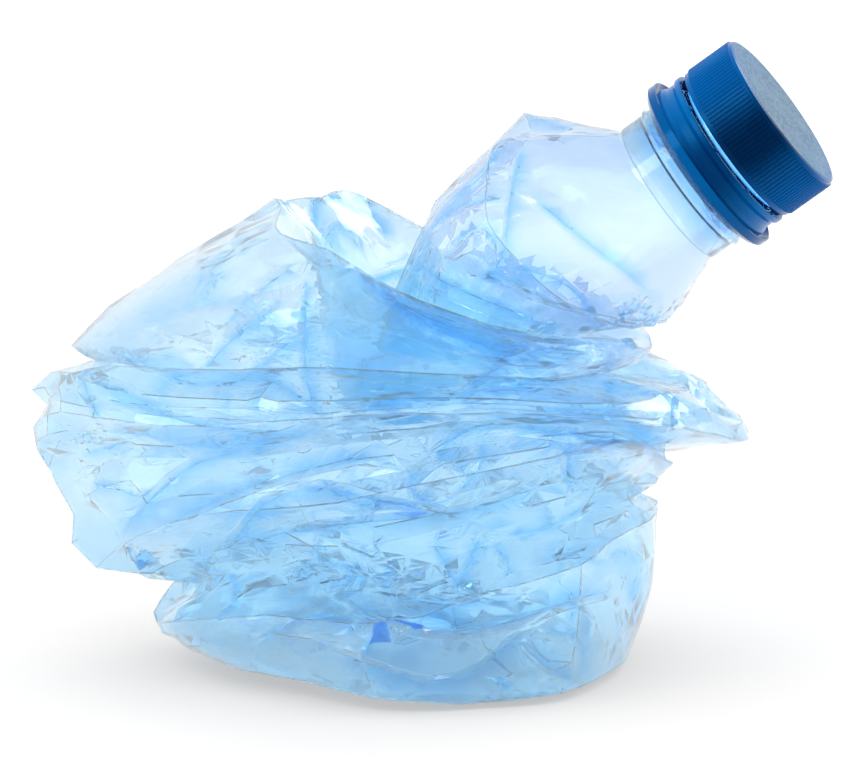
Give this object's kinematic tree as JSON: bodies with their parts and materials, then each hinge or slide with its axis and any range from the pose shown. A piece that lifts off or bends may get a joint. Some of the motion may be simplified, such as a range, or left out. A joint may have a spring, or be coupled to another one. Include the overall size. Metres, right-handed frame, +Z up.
{
  "type": "crushed plastic bottle",
  "caption": "Clear blue plastic drink bottle trodden flat along its height into stacked folds, its neck bent over, with its screw cap on.",
  "frame": {"origin": "on the floor, under the middle of the part's bounding box", "axes": "+Z up from the base the bottle stands on, +X towards the side that the neck leans to, +Y away from the side shown as the front"},
  "size_m": [0.138, 0.0834, 0.1092],
  "materials": {
    "clear_blue_pet": "gloss",
    "band_plastic": "gloss",
    "cap_plastic": "gloss"
  },
  "bodies": {
    "bottle_body": {"bottle": "clear_blue_pet", "tamper_band": "band_plastic"},
    "screw_cap": {"cap": "cap_plastic"}
  },
  "joints": [
    {"name": "cap_turn", "type": "hinge", "parent": "bottle_body", "child": "screw_cap", "pos_m": [0.04092, -0.00159, 0.083], "axis": [0.794, -0.1116, 0.5976], "range_deg": [0, 540]}
  ]
}
